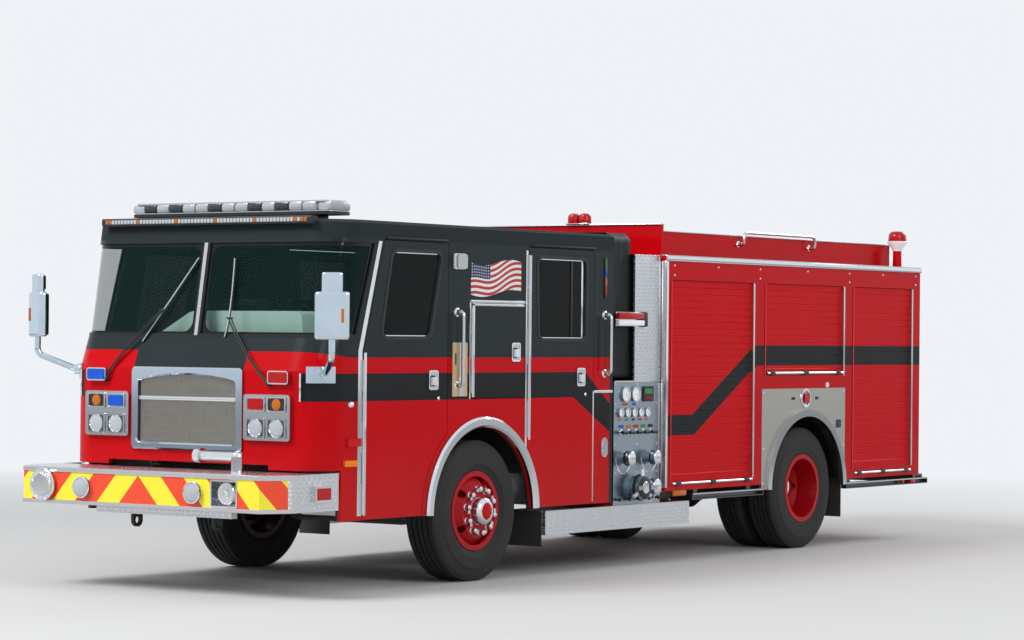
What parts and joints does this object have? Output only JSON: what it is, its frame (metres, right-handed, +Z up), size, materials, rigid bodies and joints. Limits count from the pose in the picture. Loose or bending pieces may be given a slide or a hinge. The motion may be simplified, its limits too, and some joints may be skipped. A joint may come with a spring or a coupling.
{
  "type": "fire engine",
  "caption": "Custom-cab pumper fire engine with tilting four-door cab, side lockers, pump panels, roll-up shutters, open hose bed, steered front axle and twin rear wheels.",
  "frame": {"origin": "on the floor below the middle of the whole vehicle", "axes": "+X forward, +Y to the vehicle's left, +Z up"},
  "size_m": [9.762, 3.0672, 2.91],
  "materials": {
    "body_red": "gloss red paint",
    "cab_charcoal": "gloss charcoal paint",
    "wheel_red": "gloss red paint",
    "chassis_black": "satin black paint",
    "machine_grey": "painted casting",
    "tread_aluminium": "bright tread plate",
    "brushed_steel": "brushed stainless",
    "chrome": "polished",
    "black_vinyl": "coated vinyl",
    "tank_plastic": "natural polypropylene",
    "lamp_red": "lens",
    "lamp_clear": "lens",
    "black_rubber": "matt",
    "tyre_rubber": "matt",
    "clear_glass": "tinted",
    "cab_grey": "textured",
    "seat_fabric": "woven",
    "black_plastic": "grained"
  },
  "bodies": {
    "chassis": {"frame_rails": "chassis_black", "front_axle": "chassis_black", "leaf_springs": "chassis_black", "rear_axle": "chassis_black", "power_train": "machine_grey", "radiator": "machine_grey", "chassis_tanks": "tread_aluminium", "bumper": "tread_aluminium", "bumper_fittings": "chrome", "pump_module": "body_red", "crosslay_cover": "black_vinyl", "pump_panels": "brushed_steel", "tread_plates": "tread_aluminium", "body_sides": "body_red", "shutters": "body_red", "body_trim": "brushed_steel", "water_tank": "tank_plastic", "hose_bed": "body_red", "rear_box": "body_red", "rub_rails": "brushed_steel", "body_lamps": "lamp_red", "hand_rails": "chrome", "mud_flaps": "black_rubber"},
    "cab": {"cab_roof": "cab_charcoal", "cab_rear": "body_red", "cab_front": "body_red", "cab_sides": "body_red", "windscreen": "clear_glass", "cab_floor": "cab_grey", "locker_boxes": "brushed_steel", "dashboard": "cab_grey", "seats": "seat_fabric", "grille": "chrome", "head_lamps": "lamp_clear", "lamp_bars": "lamp_clear", "mirrors": "chrome", "arch_trims": "brushed_steel", "grab_rails": "brushed_steel"},
    "steering_wheel": {"steering_wheel": "black_plastic"},
    "front_door_left": {"front_door_left": "body_red", "front_door_glass_left": "clear_glass"},
    "crew_door_left": {"crew_door_left": "body_red", "crew_door_glass_left": "clear_glass"},
    "locker_door_left": {"locker_door_left": "body_red"},
    "knuckle_left": {"knuckle_left": "chassis_black"},
    "wheel_front_left": {"wheel_front_left": "wheel_red", "tyre_front_left": "tyre_rubber"},
    "wheel_rear_left": {"wheel_rear_left": "wheel_red", "tyre_rear_left": "tyre_rubber"},
    "front_door_right": {"front_door_right": "body_red", "front_door_glass_right": "clear_glass"},
    "crew_door_right": {"crew_door_right": "body_red", "crew_door_glass_right": "clear_glass"},
    "locker_door_right": {"locker_door_right": "body_red"},
    "knuckle_right": {"knuckle_right": "chassis_black"},
    "wheel_front_right": {"wheel_front_right": "wheel_red", "tyre_front_right": "tyre_rubber"},
    "wheel_rear_right": {"wheel_rear_right": "wheel_red", "tyre_rear_right": "tyre_rubber"}
  },
  "joints": [
    {"name": "cab_tilt", "type": "hinge", "parent": "chassis", "child": "cab", "pos_m": [4.211, 0, 0.945], "axis": [0, 1, 0], "range_deg": [0, 45]},
    {"name": "steer_left", "type": "hinge", "parent": "chassis", "child": "knuckle_left", "pos_m": [2.341, 0.93, 0.535], "axis": [0, 0, 1], "range_deg": [-40, 40]},
    {"name": "spin_front_left", "type": "hinge", "parent": "knuckle_left", "child": "wheel_front_left", "pos_m": [2.341, 1.045, 0.535], "axis": [0, 1, 0], "continuous": true},
    {"name": "spin_rear_left", "type": "hinge", "parent": "chassis", "child": "wheel_rear_left", "pos_m": [-2.581, 0.92, 0.535], "axis": [0, 1, 0], "continuous": true},
    {"name": "front_door_left_swing", "type": "hinge", "parent": "cab", "child": "front_door_left", "pos_m": [3.7955, 1.23, 1.2], "axis": [0, 0, -1], "range_deg": [0, 75]},
    {"name": "crew_door_left_swing", "type": "hinge", "parent": "cab", "child": "crew_door_left", "pos_m": [1.7175, 1.23, 1.2], "axis": [0, 0, -1], "range_deg": [0, 75]},
    {"name": "locker_door_left_swing", "type": "hinge", "parent": "cab", "child": "locker_door_left", "pos_m": [2.4685, 1.23, 1.7], "axis": [0, 0, -1], "range_deg": [0, 100]},
    {"name": "steer_right", "type": "hinge", "parent": "chassis", "child": "knuckle_right", "pos_m": [2.341, -0.93, 0.535], "axis": [0, 0, 1], "range_deg": [-40, 40]},
    {"name": "spin_front_right", "type": "hinge", "parent": "knuckle_right", "child": "wheel_front_right", "pos_m": [2.341, -1.045, 0.535], "axis": [0, 1, 0], "continuous": true},
    {"name": "spin_rear_right", "type": "hinge", "parent": "chassis", "child": "wheel_rear_right", "pos_m": [-2.581, -0.92, 0.535], "axis": [0, 1, 0], "continuous": true},
    {"name": "front_door_right_swing", "type": "hinge", "parent": "cab", "child": "front_door_right", "pos_m": [3.7955, -1.23, 1.2], "axis": [0, 0, 1], "range_deg": [0, 75]},
    {"name": "crew_door_right_swing", "type": "hinge", "parent": "cab", "child": "crew_door_right", "pos_m": [1.7175, -1.23, 1.2], "axis": [0, 0, 1], "range_deg": [0, 75]},
    {"name": "locker_door_right_swing", "type": "hinge", "parent": "cab", "child": "locker_door_right", "pos_m": [2.4685, -1.23, 1.7], "axis": [0, 0, 1], "range_deg": [0, 100]},
    {"name": "steering_wheel_turn", "type": "hinge", "parent": "cab", "child": "steering_wheel", "pos_m": [3.571, 0.745, 1.49], "axis": [-0.45, 0, 0.893], "range_deg": [-480, 480]}
  ],
  "couplings": [
    {"joint": "steer_right", "follows": "steer_left", "ratio": 1},
    {"joint": "steering_wheel_turn", "follows": "steer_left", "ratio": 12}
  ]
}
